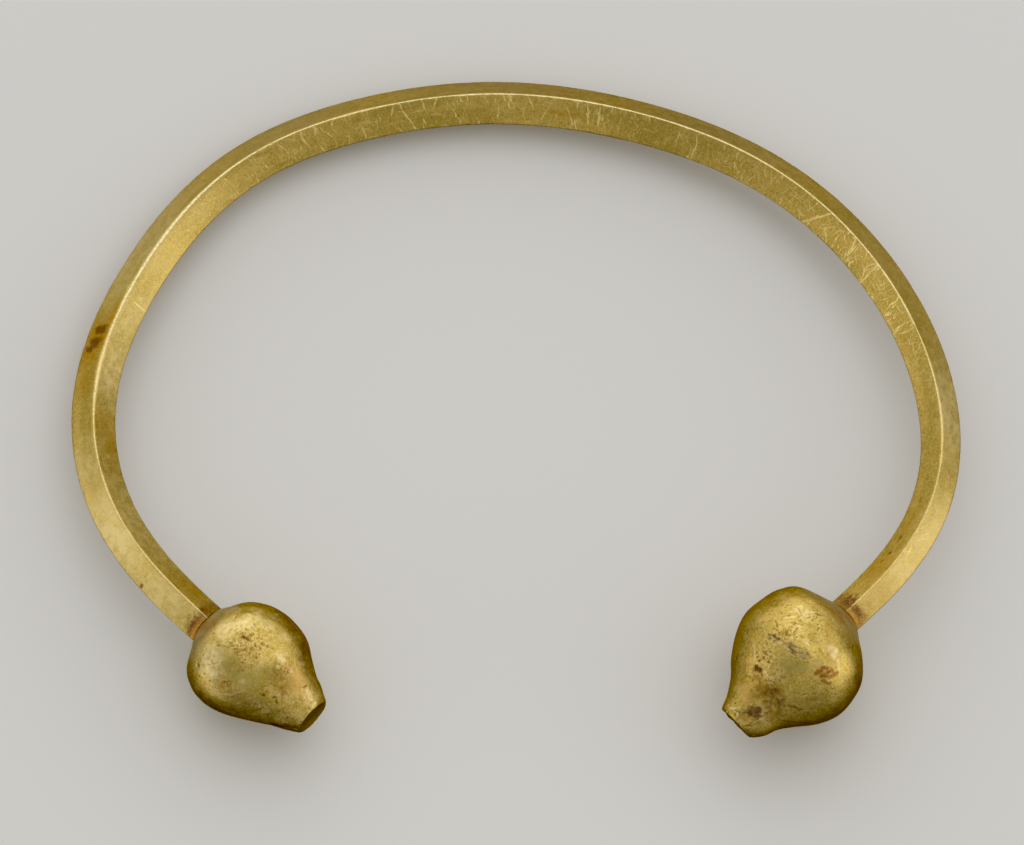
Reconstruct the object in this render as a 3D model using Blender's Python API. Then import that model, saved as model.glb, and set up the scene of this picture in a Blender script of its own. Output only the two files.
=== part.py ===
"""Gold torc: an open hoop of square bar set on edge, closed at each end by a pear-shaped terminal.

The torc lies as it does when it is put down: on the undersides of both terminals and on the lower
edge of the bar at the back. Metres, +Z up, the opening towards -Y.
"""
import math

import bmesh
import bpy
import numpy as np
from mathutils import Matrix, Vector

# Bar of the hoop. Its path runs from the left terminal over the back to the right one.
BAR_LENGTH = 0.2862
BAR_BEND_ANGLE = math.radians(273.8)
# How hard the bar bends at evenly spaced places, as shares of an even bend
BEND_SHARES = (0.19, 1.53, 1.54, 0.77, 1.39, 0.70, 0.81, 0.62, 1.02, 0.97, 1.24, 1.93, 0.31)
# Distance from the bar's middle to its four edges, at evenly spaced places
BAR_HALF_DIAGONAL = 0.0036
THICKNESS_SHARES = (1.01, 1.04, 1.09, 0.99, 0.88)
# Turn of the section about the bar's own length, at evenly spaced places
BAR_TWIST = tuple(math.radians(turn) for turn in (0.7, 3.0, 0.4, -1.6, -0.1, -5.4))
EDGE_WIDTH = 0.0003
BAR_STATIONS = 144
PATH_STEPS = 12

# Terminals. Each profile row is: share of the length from the bar to the tip, share of the ball's
# radius, and share of the ball's radius by which the ring stands off the axis.
LEFT_LENGTH = 0.0237
LEFT_BALL_RADIUS = 0.01005
LEFT_PROFILE = (
    (0.035, 0.51, -0.01),
    (0.10, 0.75, -0.03),
    (0.20, 0.92, -0.03),
    (0.33, 1.00, -0.01),
    (0.47, 0.97, 0.02),
    (0.60, 0.86, 0.05),
    (0.72, 0.69, 0.03),
    (0.83, 0.54, 0.02),
    (0.92, 0.44, 0.02),
    (1.00, 0.34, 0.02),
)
LEFT_TIP_ANGLE = math.radians(-1.0)
RIGHT_LENGTH = 0.0260
RIGHT_BALL_RADIUS = 0.0115
RIGHT_PROFILE = (
    (0.035, 0.44, -0.03),
    (0.10, 0.70, -0.07),
    (0.20, 0.90, -0.03),
    (0.33, 0.99, 0.00),
    (0.47, 1.00, 0.01),
    (0.60, 0.88, 0.02),
    (0.72, 0.69, 0.03),
    (0.83, 0.50, 0.08),
    (0.92, 0.40, 0.12),
    (1.00, 0.30, 0.11),
)
RIGHT_TIP_ANGLE = math.radians(11.0)
# The slant of the tip dies away from this share of the length back towards the bar
SLANT_START_SHARE = 0.6
# Ring of metal that the seat for the bar shows outside the bar's edges
SEAT_MARGIN = 0.0003
JOINT_GAP = 0.0003
RING_COUNT = 28
RING_CROWDING = 1.6
RING_POINTS = 40

# Worn flat under each ball, on which it rests
FLAT_RADIUS = 0.002
POSE_ROUNDS = 12
SHARP_ANGLE = math.radians(30.0)

BAR_COLOUR = (0.50, 0.36, 0.12, 1.0)
LEFT_COLOUR = (0.56, 0.43, 0.16, 1.0)
RIGHT_COLOUR = (0.53, 0.40, 0.14, 1.0)
GOLD_ROUGHNESS = 0.34


def smooth(places, values, wanted):
    """Values at the wanted places on a smooth curve through the given points."""
    places = np.asarray(places, dtype=float)
    values = np.asarray(values, dtype=float)
    spans = np.diff(places)
    slopes = np.diff(values) / spans
    tangents = np.concatenate(([slopes[0]], np.zeros(len(values) - 2), [slopes[-1]]))
    tangents[1:-1] = (slopes[:-1] * spans[1:] + slopes[1:] * spans[:-1]) / (spans[1:] + spans[:-1])
    index = np.clip(np.searchsorted(places, wanted) - 1, 0, len(spans) - 1)
    span = spans[index]
    t = (wanted - places[index]) / span
    rise = values[index + 1] - values[index]
    start = tangents[index] * span - rise
    end = rise - tangents[index + 1] * span
    return values[index] + t * rise + t * (1.0 - t) * (start * (1.0 - t) + end * t)


def even(values, wanted):
    """The same for values given at evenly spaced places from 0 to 1."""
    return smooth(np.linspace(0.0, 1.0, len(values)), values, wanted)


def bar_path():
    """Middle points and headings of the bar at each of its stations, in the plane of the hoop."""
    along = np.linspace(0.0, 1.0, BAR_STATIONS * PATH_STEPS + 1)
    bend = even(BEND_SHARES, along)
    turned = np.concatenate(([0.0], np.cumsum(0.5 * (bend[1:] + bend[:-1]))))
    heading = 0.5 * BAR_BEND_ANGLE - BAR_BEND_ANGLE * turned / turned[-1]
    step = BAR_LENGTH / (len(along) - 1)
    points = [np.zeros(len(along)), np.zeros(len(along))]
    for axis, direction in enumerate((np.cos(heading), np.sin(heading))):
        points[axis][1:] = np.cumsum(0.5 * (direction[1:] + direction[:-1])) * step
    return along[::PATH_STEPS], np.stack(points, axis=1)[::PATH_STEPS], heading[::PATH_STEPS]


def bar_rings():
    """Rings of the bar: a square standing on edge, its four edges blunted."""
    along, middle, heading = bar_path()
    reach = BAR_HALF_DIAGONAL * even(THICKNESS_SHARES, along)
    twist = even(BAR_TWIST, along)
    blunt = 0.5 * EDGE_WIDTH
    rings = []
    for centre, course, half, turn in zip(middle, heading, reach, twist):
        outward = Vector((-math.sin(course), math.cos(course), 0.0))
        upward = Vector((0.0, 0.0, 1.0))
        first = outward * math.cos(turn) + upward * math.sin(turn)
        second = upward * math.cos(turn) - outward * math.sin(turn)
        ring = []
        for quarter in range(4):
            out, side = first, second
            ring.append(Vector((*centre, 0.0)) + out * half - side * blunt)
            ring.append(Vector((*centre, 0.0)) + out * half + side * blunt)
            first, second = second, -first
        rings.append(ring)
    return rings


def terminal_rings(length, radius, profile, slant, seat_radius):
    """Rings of a terminal round its own +X axis, the seat for the bar at the origin."""
    shares = [0.0] + [row[0] for row in profile]
    radii = [seat_radius] + [radius * row[1] for row in profile]
    offsets = [0.0] + [radius * row[2] for row in profile]
    places = np.linspace(0.0, 1.0, RING_COUNT) ** RING_CROWDING
    rings = []
    for share, reach, offset in zip(places, smooth(shares, radii, places), smooth(shares, offsets, places)):
        lean = math.tan(slant) * max(0.0, (share - SLANT_START_SHARE) / (1.0 - SLANT_START_SHARE)) ** 2
        ring = []
        for index in range(RING_POINTS):
            angle = 2.0 * math.pi * index / RING_POINTS
            height = reach * math.sin(angle)
            ring.append(Vector((length * share + lean * height, offset + reach * math.cos(angle), height)))
        rings.append(ring)
    return rings


def terminal_frame(end, course, gap):
    """Where a terminal sits: at the bar's end, its axis carrying the bar's course on."""
    place = Matrix.Translation(Vector((end[0] + gap * math.cos(course), end[1] + gap * math.sin(course), 0.0)))
    return place @ Matrix.Rotation(course, 4, "Z")


def flat_depth(radius):
    """How far the resting flat cuts into a ball of this radius."""
    return radius - math.sqrt(radius ** 2 - min(FLAT_RADIUS, 0.5 * radius) ** 2)


def lowest(rings, turn, lift):
    """Lowest point of some rings after a turn, raised by the depth of the resting flat."""
    points = [turn @ point for ring in rings for point in ring]
    point = min(points, key=lambda item: item.z)
    return point + Vector((0.0, 0.0, lift))


def lying_turn(supports):
    """Turn that brings the three supports down onto one level."""
    turn = Matrix.Identity(4)
    for _ in range(POSE_ROUNDS):
        first, second, third = [lowest(rings, turn, lift) for rings, lift in supports]
        normal = (second - first).cross(third - first)
        if normal.z < 0.0:
            normal.negate()
        turn = normal.rotation_difference(Vector((0.0, 0.0, 1.0))).to_matrix().to_4x4() @ turn
    rings, lift = supports[0]
    return turn, lowest(rings, turn, lift).z


def make_material(name, colour):
    material = bpy.data.materials.new(name)
    material.use_nodes = True
    shader = material.node_tree.nodes["Principled BSDF"]
    shader.inputs["Base Color"].default_value = colour
    shader.inputs["Metallic"].default_value = 1.0
    shader.inputs["Roughness"].default_value = GOLD_ROUGHNESS
    material.diffuse_color = colour
    return material


def make_solid(name, rings, placement, material):
    """Closed solid through the rings, cut off level where it rests on the ground."""
    mesh = bmesh.new()
    loops = [[mesh.verts.new(point) for point in ring] for ring in rings]
    for near, far in zip(loops[:-1], loops[1:]):
        for index in range(len(near)):
            following = (index + 1) % len(near)
            mesh.faces.new((near[index], near[following], far[following], far[index]))
    mesh.faces.new(loops[0])
    mesh.faces.new(loops[-1])
    bmesh.ops.recalc_face_normals(mesh, faces=mesh.faces)

    ground = placement.inverted()
    level = ground @ Vector((0.0, 0.0, 0.0))
    down = (ground.to_3x3() @ Vector((0.0, 0.0, -1.0))).normalized()
    geometry = mesh.verts[:] + mesh.edges[:] + mesh.faces[:]
    cut = bmesh.ops.bisect_plane(mesh, geom=geometry, dist=1e-7, plane_co=level, plane_no=down, clear_outer=True)
    rim = [item for item in cut["geom_cut"] if isinstance(item, bmesh.types.BMEdge)]
    if rim:
        bmesh.ops.holes_fill(mesh, edges=rim)
        bmesh.ops.recalc_face_normals(mesh, faces=mesh.faces)

    data = bpy.data.meshes.new(name)
    mesh.to_mesh(data)
    mesh.free()
    for face in data.polygons:
        face.use_smooth = True
    data.set_sharp_from_angle(angle=SHARP_ANGLE)
    data.materials.append(material)
    solid = bpy.data.objects.new(name, data)
    bpy.context.scene.collection.objects.link(solid)
    solid.matrix_world = placement
    return solid


def build():
    for item in list(bpy.data.objects):
        bpy.data.objects.remove(item, do_unlink=True)

    along, middle, heading = bar_path()
    bar = bar_rings()
    half_diagonals = BAR_HALF_DIAGONAL * even(THICKNESS_SHARES, np.array((0.0, 1.0)))
    left = terminal_rings(LEFT_LENGTH, LEFT_BALL_RADIUS, LEFT_PROFILE, LEFT_TIP_ANGLE,
                          half_diagonals[0] + SEAT_MARGIN)
    right = terminal_rings(RIGHT_LENGTH, RIGHT_BALL_RADIUS, RIGHT_PROFILE, RIGHT_TIP_ANGLE,
                           half_diagonals[1] + SEAT_MARGIN)
    left_frame = terminal_frame(middle[0], heading[0] + math.pi, JOINT_GAP)
    right_frame = terminal_frame(middle[-1], heading[-1], JOINT_GAP)

    supports = (
        ([[left_frame @ point for point in ring] for ring in left], flat_depth(LEFT_BALL_RADIUS)),
        ([[right_frame @ point for point in ring] for ring in right], flat_depth(RIGHT_BALL_RADIUS)),
        (bar, 0.0),
    )
    turn, level = lying_turn(supports)
    corners = [turn @ point for rings, _ in supports for ring in rings for point in ring]
    middle_x = 0.5 * (min(point.x for point in corners) + max(point.x for point in corners))
    middle_y = 0.5 * (min(point.y for point in corners) + max(point.y for point in corners))
    pose = Matrix.Translation(Vector((-middle_x, -middle_y, -level))) @ turn

    make_solid("hoop", bar, pose, make_material("bar_gold", BAR_COLOUR))
    make_solid("terminal_left", left, pose @ left_frame, make_material("left_gold", LEFT_COLOUR))
    make_solid("terminal_right", right, pose @ right_frame, make_material("right_gold", RIGHT_COLOUR))


build()
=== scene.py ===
"""Looks of the gold torc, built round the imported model.

Each of the three pieces is a fine mesh on the form of its solid: the square bar with its softened
edges, and the two hammered terminals. Lengths are in millimetres up to the place where a mesh is made,
and in metres for the floor, the camera's clipping and the depth of the finest relief. The materials
count the bar's patterns in millimetres and those of the terminals in metres.
"""
import math

import bpy
import numpy as np
from mathutils import Matrix, Vector


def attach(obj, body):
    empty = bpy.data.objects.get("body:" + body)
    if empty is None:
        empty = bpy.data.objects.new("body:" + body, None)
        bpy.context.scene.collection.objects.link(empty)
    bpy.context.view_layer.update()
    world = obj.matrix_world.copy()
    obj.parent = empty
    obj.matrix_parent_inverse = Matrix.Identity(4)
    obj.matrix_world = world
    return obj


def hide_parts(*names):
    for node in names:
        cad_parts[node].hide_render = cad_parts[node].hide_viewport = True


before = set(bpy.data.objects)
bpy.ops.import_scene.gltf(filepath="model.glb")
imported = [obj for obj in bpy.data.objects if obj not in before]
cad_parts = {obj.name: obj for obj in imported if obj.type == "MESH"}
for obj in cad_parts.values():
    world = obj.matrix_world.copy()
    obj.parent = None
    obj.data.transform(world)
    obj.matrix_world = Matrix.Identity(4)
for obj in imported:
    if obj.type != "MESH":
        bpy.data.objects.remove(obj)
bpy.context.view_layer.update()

MM = 0.001

# The bar, as in the solid
BAR_LENGTH = 286.2
BAR_BEND_ANGLE = math.radians(273.8)
BEND_SHARES = (0.19, 1.53, 1.54, 0.77, 1.39, 0.70, 0.81, 0.62, 1.02, 0.97, 1.24, 1.93, 0.31)
BAR_HALF_DIAGONAL = 3.6
THICKNESS_SHARES = (1.01, 1.04, 1.09, 0.99, 0.88)
BAR_TWIST = tuple(math.radians(turn) for turn in (0.7, 3.0, 0.4, -1.6, -0.1, -5.4))

# The terminals, as in the solids: share of length, share of ball radius, offset in ball radii
LEFT = {
    "length": 23.7,
    "radius": 10.05,
    "tip_angle": math.radians(-1.0),
    "profile": (
        (0.035, 0.51, -0.01), (0.1, 0.75, -0.03), (0.2, 0.92, -0.03), (0.33, 1.0, -0.01), (0.47, 0.97, 0.02),
        (0.6, 0.86, 0.05), (0.72, 0.69, 0.03), (0.83, 0.54, 0.02), (0.92, 0.44, 0.02), (1.0, 0.34, 0.02),
    ),
}
RIGHT = {
    "length": 26.0,
    "radius": 11.5,
    "tip_angle": math.radians(11.0),
    "profile": (
        (0.035, 0.44, -0.03), (0.1, 0.7, -0.07), (0.2, 0.9, -0.03), (0.33, 0.99, 0.0), (0.47, 1.0, 0.01),
        (0.6, 0.88, 0.02), (0.72, 0.69, 0.03), (0.83, 0.5, 0.08), (0.92, 0.4, 0.12), (1.0, 0.3, 0.11),
    ),
}
SLANT_START_SHARE = 0.6
SEAT_MARGIN = 0.3
JOINT_GAP = 0.3

# How the torc lies: the axes of the hoop's plane, and where the bar's left end is
LYING_X = Vector((0.99985874, 0.00052828, 0.01679958)).normalized()
LYING_Z = Vector((-0.01679874, 0.06436993, 0.99778473)).normalized()
LYING_PLACE = Vector((-51.568843, -39.255664, 9.369708))

# Camera: its angle off square to the hoop's plane, and where it looks, counted from the bar's left end
CAMERA_TILT = math.radians(20.5)
CAMERA_DISTANCE = 1500.0
CAMERA_TARGET = Vector((50.894, 36.189, 0.0))
PIXELS_PER_MM = 889.0 / 150.0
FRAME_WIDTH = 1024
SENSOR_WIDTH = 36.0
CLIP_NEAR, CLIP_FAR = 0.01, 20.0
BLACK_LEVEL = 0.02


def smooth(places, values, wanted):
    """Values at the wanted places on a smooth curve through the given points."""
    places = np.asarray(places, dtype=float)
    values = np.asarray(values, dtype=float)
    spans = np.diff(places)
    slopes = np.diff(values) / spans
    tangents = np.concatenate(([slopes[0]], np.zeros(len(values) - 2), [slopes[-1]]))
    tangents[1:-1] = (slopes[:-1] * spans[1:] + slopes[1:] * spans[:-1]) / (spans[1:] + spans[:-1])
    index = np.clip(np.searchsorted(places, wanted) - 1, 0, len(spans) - 1)
    span = spans[index]
    t = (wanted - places[index]) / span
    rise = values[index + 1] - values[index]
    start = tangents[index] * span - rise
    end = rise - tangents[index + 1] * span
    return values[index] + t * rise + t * (1.0 - t) * (start * (1.0 - t) + end * t)


def even(values, wanted):
    """The same for values given at evenly spaced places from 0 to 1."""
    return smooth(np.linspace(0.0, 1.0, len(values)), values, wanted)


def fade(value, start, end):
    """0 before start and 1 after end, with a soft passage between them."""
    t = np.clip((value - start) / (end - start), 0.0, 1.0)
    return t * t * (3.0 - 2.0 * t)


def lattice(cell, seed):
    """A fixed number between -1 and 1 for each cell of a grid."""
    mixed = cell[..., 0] * 374761393 + cell[..., 1] * 668265263
    mixed = mixed + cell[..., 2] * 1442695041 + seed * 974634777
    mixed = mixed & 0xFFFFFFFF
    mixed = ((mixed ^ (mixed >> 13)) * 1274126177) & 0xFFFFFFFF
    mixed = ((mixed ^ (mixed >> 15)) * 668265263) & 0xFFFFFFFF
    mixed = mixed ^ (mixed >> 16)
    return mixed / 2147483647.5 - 1.0


def value_noise(points, size, seed):
    """Smooth noise between -1 and 1 whose bumps are about this size across."""
    scaled = points / size
    base = np.floor(scaled).astype(np.int64)
    t = scaled - base
    t = t * t * t * (t * (t * 6.0 - 15.0) + 10.0)
    total = np.zeros(points.shape[:-1])
    for corner in range(8):
        step = np.array((corner & 1, (corner >> 1) & 1, (corner >> 2) & 1))
        weight = np.prod(np.where(step == 1, t, 1.0 - t), axis=-1)
        total += weight * lattice(base + step, seed)
    return total


def bell(value, middle, width):
    """1 in the middle, falling softly over the width on both sides."""
    return np.exp(-((value - middle) / width) ** 2)


def layered_noise(points, size, seed, layers=3):
    """Value noise with finer and weaker layers over it."""
    total = np.zeros(points.shape[:-1])
    share = 1.0
    for layer in range(layers):
        total += share * value_noise(points, size / 2.0 ** layer, seed + 17 * layer)
        share *= 0.5
    return total


def bump_at(points, centre, radius):
    """1 at the centre, falling softly to 0 at the radius."""
    gap = ((points - centre) ** 2).sum(axis=-1) / radius ** 2
    return np.clip(1.0 - gap, 0.0, None) ** 2


def with_axes(x, y, z):
    """Matrix that turns things so that their own axes point these ways."""
    return Matrix(((*x, 0.0), (*y, 0.0), (*z, 0.0), (0.0, 0.0, 0.0, 1.0))).transposed()


LYING = with_axes(LYING_X, LYING_Z.cross(LYING_X), LYING_Z)
LYING.translation = LYING_PLACE


def placed(points, matrix):
    """Points moved by a matrix."""
    array = np.array(matrix)
    return points @ array[:3, :3].T + array[:3, 3]


def make_piece(name, points, faces, fields, material, node):
    """Mesh piece from points in millimetres, with its painted fields, standing for a CAD node."""
    mesh = bpy.data.meshes.new(name)
    mesh.from_pydata((points * MM).tolist(), [], faces)
    for key, values in fields.items():
        kind, part = ("FLOAT", "value") if values.ndim == 1 else ("FLOAT_VECTOR", "vector")
        layer = mesh.attributes.new(key, kind, "POINT")
        layer.data.foreach_set(part, values.astype(np.float32).ravel())
    mesh.polygons.foreach_set("use_smooth", [True] * len(mesh.polygons))
    mesh.materials.append(material)
    mesh.update()
    piece = bpy.data.objects.new(name, mesh)
    bpy.context.scene.collection.objects.link(piece)
    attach(piece, "root")
    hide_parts(node)
    return piece


def ring_faces(rings, around):
    """Faces of a tube of rings, closed by a point before its first ring and one after its last."""
    first = np.arange(rings - 1)[:, None] * around
    here = np.arange(around)[None, :]
    following = (here + 1) % around
    beyond = first + around
    quads = np.stack([first + here, first + following, beyond + following, beyond + here], axis=-1)
    faces = quads.reshape(-1, 4).tolist()
    start, end = rings * around, rings * around + 1
    last = (rings - 1) * around
    for index in range(around):
        after = (index + 1) % around
        faces.append([start, after, index])
        faces.append([end, last + index, last + after])
    return faces


# The bar

BAR_STATIONS = 1388
PATH_STEPS = 4
ARC_POINTS = 7
FACE_POINTS = (16, 16, 5, 5)
SEAM = 0.02
CAP_CURVE = 9.0
CAP_REACH = 3.0
CAP_RINGS = 4
FACE_WIDTH = 5.1
HAIR_REACH = 0.42
HAIR_CORE = 0.1
HAIR_WANDER = 0.22
SMALL_KNOCKS = 150
SMALL_NICKS = 90


def bar_path():
    """Share of length, middle point and heading at each station of the bar, in the hoop's plane."""
    along = np.linspace(0.0, 1.0, BAR_STATIONS * PATH_STEPS + 1)
    bend = even(BEND_SHARES, along)
    turned = np.concatenate(([0.0], np.cumsum(0.5 * (bend[1:] + bend[:-1]))))
    heading = 0.5 * BAR_BEND_ANGLE - BAR_BEND_ANGLE * turned / turned[-1]
    step = BAR_LENGTH / (len(along) - 1)
    points = np.zeros((len(along), 2))
    for axis, direction in enumerate((np.cos(heading), np.sin(heading))):
        points[1:, axis] = np.cumsum(0.5 * (direction[1:] + direction[:-1])) * step
    return along[::PATH_STEPS], points[::PATH_STEPS], heading[::PATH_STEPS]


ALONG, MIDDLE, HEADING = bar_path()
END_HALVES = BAR_HALF_DIAGONAL * even(THICKNESS_SHARES, np.array((0.0, 1.0)))


def cap_height(reach, seat_radius):
    """How far the ball stands out towards the bar, this far from the middle of its seat."""
    return np.sqrt(CAP_CURVE ** 2 - reach ** 2) - math.sqrt(CAP_CURVE ** 2 - seat_radius ** 2)


def end_level(reach, half):
    """How far the bar's end stands out this far from its middle, so that it stays clear of the ball."""
    return JOINT_GAP - SEAM - cap_height(reach, half + SEAT_MARGIN)


def edge_radius(edge):
    """Radius of one of the bar's four edges along its length: 0 out, 1 up, 2 in, 3 down."""
    line = np.stack([ALONG * BAR_LENGTH, 0 * ALONG, 0 * ALONG + edge * 9.0], axis=1)
    wander = 0.06 * layered_noise(line, 7.0, 3)
    if edge == 1:
        worn = fade(ALONG, 0.13, 0.19) * (1.0 - fade(ALONG, 0.27, 0.36))
        return np.clip(0.25 + 0.30 * worn + wander, 0.14, None)
    return np.clip(0.26 + wander, 0.15, None)


def bar_section():
    """Section of the bar at every station: places across it, and what lies at each point."""
    half = BAR_HALF_DIAGONAL * even(THICKNESS_SHARES, ALONG)
    columns = []
    for edge in range(4):
        facing = 0.5 * math.pi * edge
        radius = edge_radius(edge)
        corner = []
        for angle in np.linspace(-0.25 * math.pi, 0.25 * math.pi, ARC_POINTS):
            x = (half - radius) * math.cos(facing) + radius * math.cos(facing + angle)
            y = (half - radius) * math.sin(facing) + radius * math.sin(facing + angle)
            corner.append(np.stack([x, y], axis=1))
        columns.append(corner)
    out = []
    kinds = []
    for edge in range(4):
        following = columns[(edge + 1) % 4]
        out.extend(columns[edge])
        kinds.extend([edge - 0.5 + 0.5 * k / (ARC_POINTS - 1) + 0.25 for k in range(ARC_POINTS)])
        for index in range(FACE_POINTS[edge]):
            share = (index + 1.0) / (FACE_POINTS[edge] + 1.0)
            out.append(columns[edge][-1] * (1.0 - share) + following[0] * share)
            kinds.append(edge + 0.25 + 0.5 * share)
    return np.stack(out, axis=1), np.array(kinds)


def build_bar(material):
    section, kinds = bar_section()
    twist = even(BAR_TWIST, ALONG)[:, None]
    x = section[..., 0] * np.cos(twist) - section[..., 1] * np.sin(twist)
    z = section[..., 0] * np.sin(twist) + section[..., 1] * np.cos(twist)
    outward = np.stack([-np.sin(HEADING), np.cos(HEADING)], axis=1)
    forward = np.stack([np.cos(HEADING), np.sin(HEADING)], axis=1)
    run = ALONG * BAR_LENGTH
    reach = np.hypot(x, z)

    shift = np.zeros_like(x)
    for end, sign, half in ((0.0, -1.0, END_HALVES[0]), (BAR_LENGTH, 1.0, END_HALVES[1])):
        near = 1.0 - fade(np.abs(run - end), 0.0, CAP_REACH)
        shift += sign * near[:, None] * end_level(reach, half)

    flat = MIDDLE[:, None, :] + x[..., None] * outward[:, None, :] + shift[..., None] * forward[:, None, :]
    points = np.concatenate([flat, z[..., None]], axis=2)

    # Relief: slow waves of the hammered and filed faces, and small knocks on the edges
    inward = np.concatenate([-x[..., None] * outward[:, None, :], -z[..., None]], axis=2)
    inward /= np.linalg.norm(inward, axis=2, keepdims=True)
    face_share = np.abs((kinds + 0.5) % 1.0 - 0.5)
    on_face = fade(face_share, 0.2, 0.34)[None, :]
    on_edge = 1.0 - fade(face_share, 0.02, 0.28)[None, :]
    spread = np.stack([run[:, None] + 0.0 * x, kinds[None, :] * FACE_WIDTH + 0.0 * x, 0.0 * x], axis=2)
    relief = 0.016 * layered_noise(spread * np.array((0.35, 1.0, 1.0)), 3.6, 11) * on_face
    relief += 0.006 * layered_noise(spread * np.array((0.6, 1.0, 1.0)), 1.2, 12, 2) * on_face
    chips = np.abs(layered_noise(spread * np.array((0.8, 0.2, 1.0)), 0.7, 13, 2))
    relief += (0.012 + 0.045 * bell(kinds, 1.0, 0.3)[None, :]) * chips * on_edge
    draw = np.random.default_rng(5)
    for _ in range(SMALL_KNOCKS):
        place = draw.uniform(2.0, BAR_LENGTH - 2.0)
        edge = draw.integers(0, 4)
        long, deep = draw.uniform(0.25, 0.8), draw.uniform(0.02, 0.07)
        relief += deep * np.outer(bell(run, place, long), bell(kinds, edge, 0.22))
    for place, across, long, deep in BAR_KNOCKS:
        relief += deep * np.outer(bell(run, place * BAR_LENGTH, long), bell(kinds, across, 0.12))
    for _ in range(SMALL_NICKS):
        place, across = draw.uniform(4.0, BAR_LENGTH - 4.0), draw.uniform(0.0, 4.0)
        size, deep = draw.uniform(0.2, 0.38), draw.uniform(0.02, 0.06)
        gap = ((run - place) / size)[:, None] ** 2 + ((kinds - across) * FACE_WIDTH / size)[None, :] ** 2
        relief += deep * np.clip(1.0 - gap, 0.0, None) ** 2
    points = points + inward * relief[..., None]

    # Ends: a few rings that close each end under the ball's curve
    rings = [points]
    tips = []
    for first, sign, half in ((0, 1.0, END_HALVES[0]), (-1, -1.0, END_HALVES[1])):
        centre = np.array((*MIDDLE[first], 0.0))
        ahead = -sign * np.array((*forward[first], 0.0))
        ring = points[first] - centre
        straight = ring - np.outer(ring @ ahead, ahead)
        extra = []
        for index in range(1, CAP_RINGS):
            share = 1.0 - index / CAP_RINGS
            level = end_level(np.linalg.norm(straight * share, axis=1), half)
            extra.append(centre + straight * share + level[:, None] * ahead)
        extra = np.array(extra)
        tips.append(centre + end_level(0.0, half) * ahead)
        rings = [extra[::-1]] + rings if sign > 0 else rings + [extra]
    grid = np.concatenate(rings)
    around = grid.shape[1]
    cloud = np.concatenate([grid.reshape(-1, 3), tips])
    cloud = placed(cloud, LYING)
    cloud[:, 2] = np.clip(cloud[:, 2], 0.0, None)

    # Fields: places on the straightened bar, and how strong each kind of mark is there
    rows = len(grid)
    long_row = np.clip(np.arange(rows) - (CAP_RINGS - 1), 0, len(run) - 1)
    tail = np.array((0.0, BAR_LENGTH))
    along_run = np.concatenate([np.repeat(run[long_row], around), tail])
    across = np.concatenate([np.tile(kinds, rows), [0.0, 0.0]])
    flat_section = np.concatenate([section[long_row].reshape(-1, 2), np.zeros((2, 2))])
    share = along_run / BAR_LENGTH
    fields = {"skin": np.concatenate([along_run[:, None], flat_section], axis=1)}
    for key, spots in BAR_STAINS.items():
        total = np.zeros(len(share))
        for place, side, long, wide, strength in spots:
            gap = ((share - place) * BAR_LENGTH / long) ** 2 + ((across - side) * FACE_WIDTH / wide) ** 2
            total = np.maximum(total, strength * np.exp(-gap))
        fields[key] = total
    waves = layered_noise(fields["skin"], 1.6, 31)
    burn = np.zeros(len(share))
    for distance, reaches in ((along_run, LEFT_BURN), (BAR_LENGTH - along_run, RIGHT_BURN)):
        reach_here = np.interp(across, np.arange(len(reaches)) * 0.5, reaches)
        burn = np.maximum(burn, 1.0 - fade(distance + BURN_WAVES * waves, 0.0, BURN_FADE * reach_here))
    fields["burn"] = burn
    fields["cobweb"] = cobweb_level(share, across)
    fields["wear_and_highlight"] = ridge_wear_and_highlight(share, across)
    scratch = np.zeros(len(share))
    hairs = list(BAR_SCRATCHES)
    for low, high, count in HAIR_STRETCHES:
        for _ in range(count):
            at, side = draw.uniform(low, high), draw.uniform(1.05, 1.9)
            lean = draw.choice((-1.0, 1.0)) * draw.uniform(0.15, 1.2)
            long = draw.uniform(0.4, 1.8)
            rise = long / FACE_WIDTH / math.hypot(lean, 1.0)
            end_at = at + lean * rise * FACE_WIDTH / BAR_LENGTH
            hairs.append((at, side, end_at, min(side + rise, 1.95), draw.uniform(0.35, 0.8)))
    for at, side, end_at, end_side, strength in hairs:
        start = np.array((at * BAR_LENGTH, side * FACE_WIDTH))
        step = np.array((end_at * BAR_LENGTH, end_side * FACE_WIDTH)) - start
        near = np.nonzero(np.abs(along_run - start[0] - 0.5 * step[0]) < 0.5 * abs(step[0]) + 1.0)[0]
        here = np.stack([along_run[near], across[near] * FACE_WIDTH], axis=1)
        here = here + HAIR_WANDER * np.stack([waves[near], -waves[near]], axis=1)
        t = np.clip((here - start) @ step / (step @ step), 0.0, 1.0)
        gap = np.linalg.norm(here - start - t[:, None] * step, axis=1)
        taper = strength * (1.0 - 0.4 * np.abs(2.0 * t - 1.0))
        level = np.clip(taper * (1.0 - gap / HAIR_REACH) + 0.25 * (gap < HAIR_CORE), 0.0, 1.0)
        scratch[near] = np.maximum(scratch[near], level)
    fields["scratch"] = scratch

    piece = make_piece("hoop_bar", cloud, ring_faces(rows, around), fields, material, "hoop")
    open_across = np.append(kinds, kinds[0] + 4.0)
    corner_across = np.stack([open_across[:-1], open_across[1:], open_across[1:], open_across[:-1]], axis=1)
    first_run = np.repeat(run[long_row][:-1, None], around, axis=1)
    second_run = np.repeat(run[long_row][1:, None], around, axis=1)
    corner_run = np.stack([first_run, first_run, second_run, second_run], axis=2).reshape(-1)
    corner_side = np.tile(corner_across.reshape(-1), rows - 1)
    corners = np.zeros((len(piece.data.loops), 3), dtype=np.float32)
    corners[:len(corner_run), 0] = corner_run
    corners[:len(corner_run), 1] = corner_side * FACE_WIDTH
    corners[len(corner_run):, 0] = np.repeat(tail, 3 * around)[:len(corners) - len(corner_run)]
    layer = piece.data.attributes.new("run", "FLOAT_VECTOR", "CORNER")
    layer.data.foreach_set("vector", corners.ravel())
    return piece


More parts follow.
